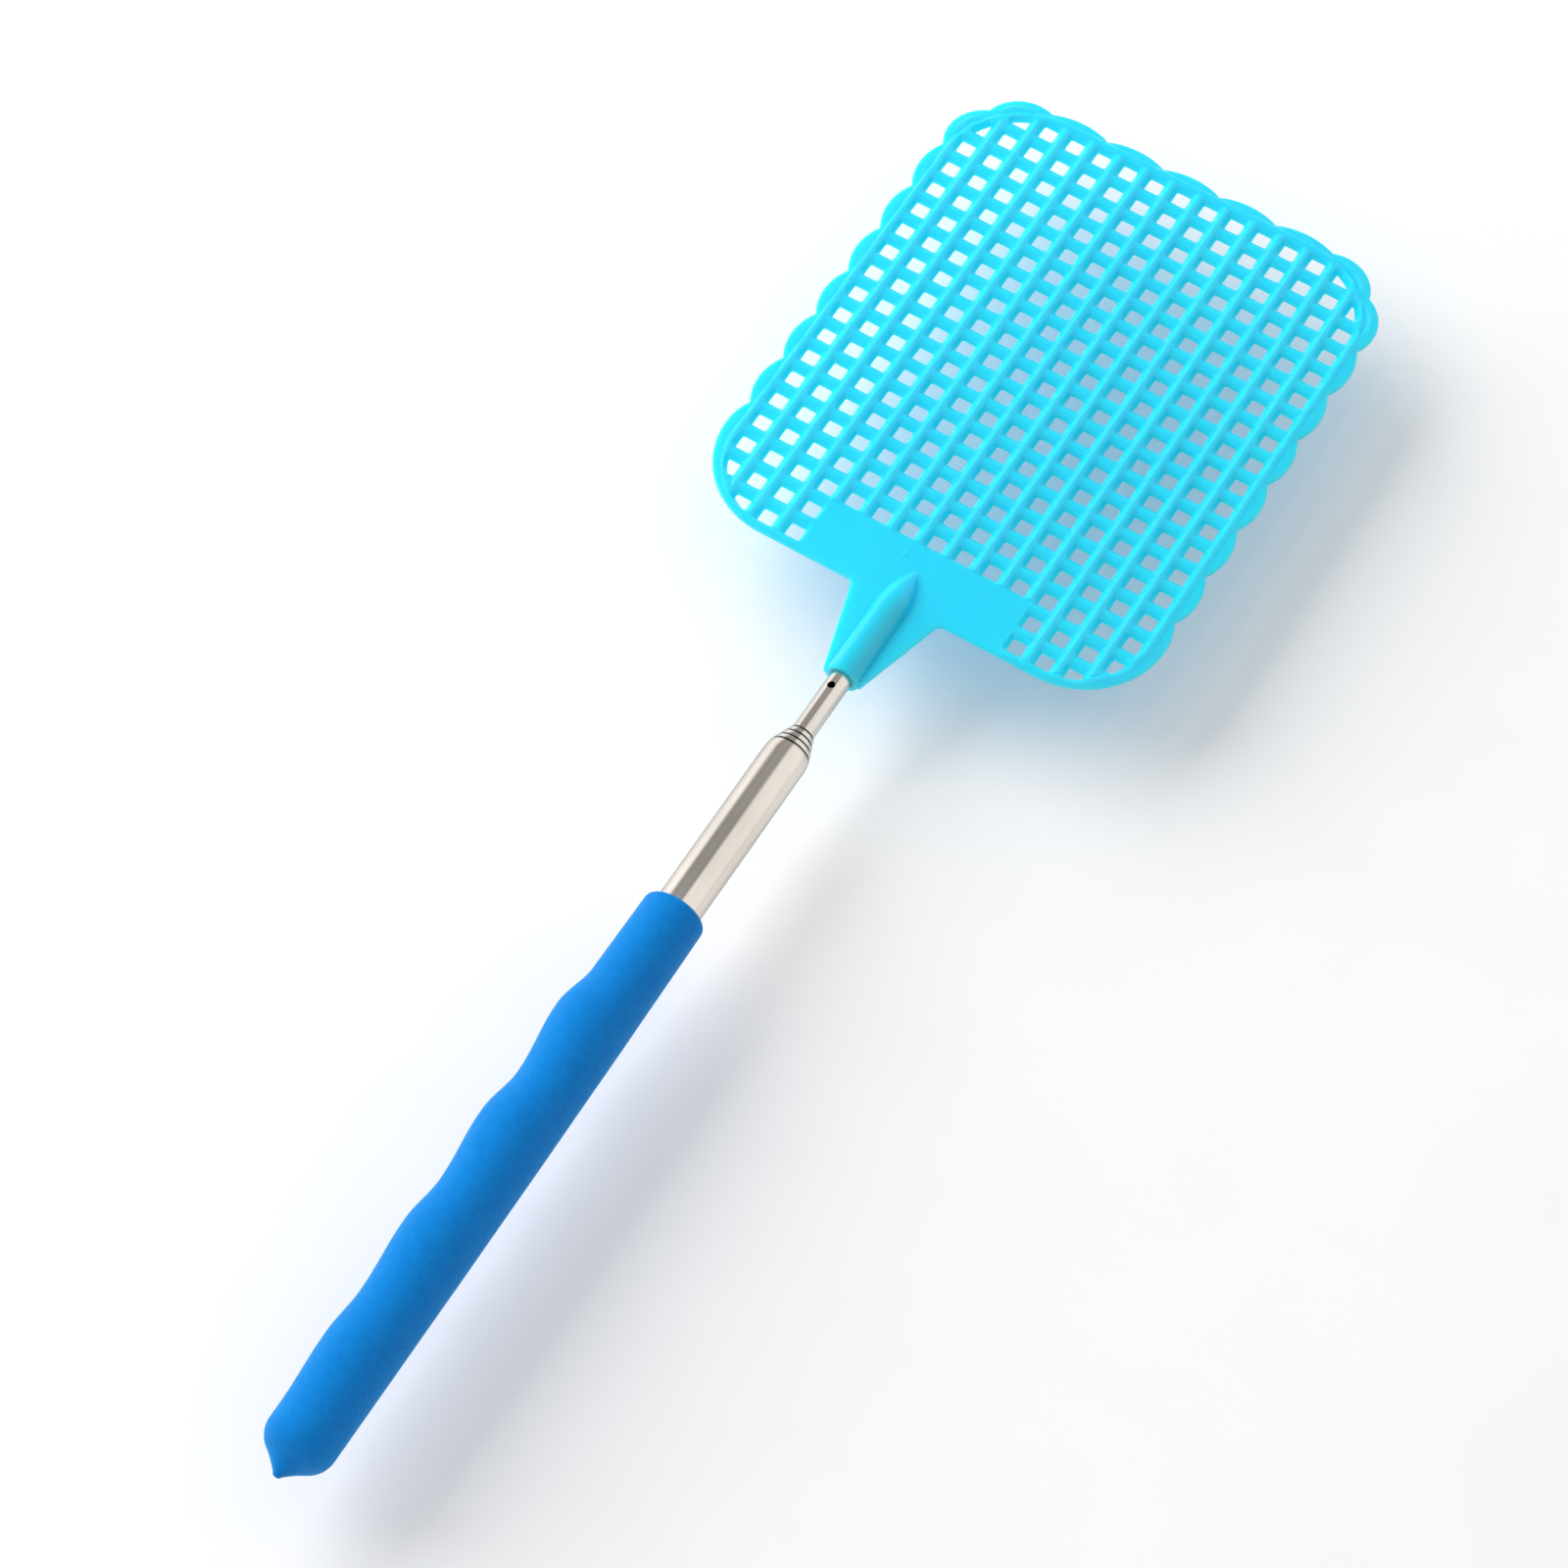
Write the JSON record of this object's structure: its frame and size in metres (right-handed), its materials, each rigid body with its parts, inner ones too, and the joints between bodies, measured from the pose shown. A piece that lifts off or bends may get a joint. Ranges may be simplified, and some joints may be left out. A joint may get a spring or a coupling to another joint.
{
  "type": "fly swatter",
  "caption": "Flat plastic mesh head with a scalloped rim on a telescopic steel shaft with a soft contoured grip.",
  "frame": {"origin": "tip of the grip's butt, on the shaft's axis", "axes": "+Y along the shaft from the butt to the head, +X across the head, +Z out of the head's front face; it lies flat"},
  "size_m": [0.0864, 0.2911, 0.0128],
  "materials": {
    "head_plastic": "satin moulded polyethylene",
    "grip_rubber": "matte dipped soft vinyl",
    "plug_plastic": "matte nylon",
    "tube_steel": "bright drawn stainless steel",
    "plug_brass": "turned",
    "spring_bronze": "rolled spring bronze"
  },
  "bodies": {
    "handle": {"outer_tube": "tube_steel", "base_plug": "plug_plastic", "grip": "grip_rubber"},
    "second_tube_carrier": {"second_tube_spring": "spring_bronze"},
    "second_tube": {"second_tube": "tube_steel", "second_tube_plug": "plug_brass"},
    "third_tube_carrier": {"third_tube_spring": "spring_bronze"},
    "third_tube": {"third_tube": "tube_steel", "third_tube_plug": "plug_brass"},
    "fourth_tube_carrier": {"fourth_tube_spring": "spring_bronze"},
    "fourth_tube": {"fourth_tube": "tube_steel", "fourth_tube_plug": "plug_brass"},
    "tip_rod_carrier": {"tip_rod_spring": "spring_bronze"},
    "tip_rod": {"tip_rod": "tube_steel", "tip_rod_plug": "plug_brass", "swatter_head": "head_plastic"}
  },
  "joints": [
    {"name": "second_tube_slide", "type": "slide", "parent": "handle", "child": "second_tube_carrier", "axis": [0, 1, 0], "range_m": [0, 0.1188]},
    {"name": "second_tube_turn", "type": "hinge", "parent": "second_tube_carrier", "child": "second_tube", "pos_m": [0, 0, 0], "axis": [0, 1, 0], "continuous": true},
    {"name": "third_tube_slide", "type": "slide", "parent": "second_tube", "child": "third_tube_carrier", "axis": [0, 1, 0], "range_m": [0, 0.1152]},
    {"name": "third_tube_turn", "type": "hinge", "parent": "third_tube_carrier", "child": "third_tube", "pos_m": [0, 0, 0], "axis": [0, 1, 0], "continuous": true},
    {"name": "fourth_tube_slide", "type": "slide", "parent": "third_tube", "child": "fourth_tube_carrier", "axis": [0, 1, 0], "range_m": [0, 0.1105]},
    {"name": "fourth_tube_turn", "type": "hinge", "parent": "fourth_tube_carrier", "child": "fourth_tube", "pos_m": [0, 0, 0], "axis": [0, 1, 0], "continuous": true},
    {"name": "tip_rod_slide", "type": "slide", "parent": "fourth_tube", "child": "tip_rod_carrier", "axis": [0, 1, 0], "range_m": [0, 0.1058]},
    {"name": "tip_rod_turn", "type": "hinge", "parent": "tip_rod_carrier", "child": "tip_rod", "pos_m": [0, 0, 0], "axis": [0, 1, 0], "continuous": true}
  ]
}
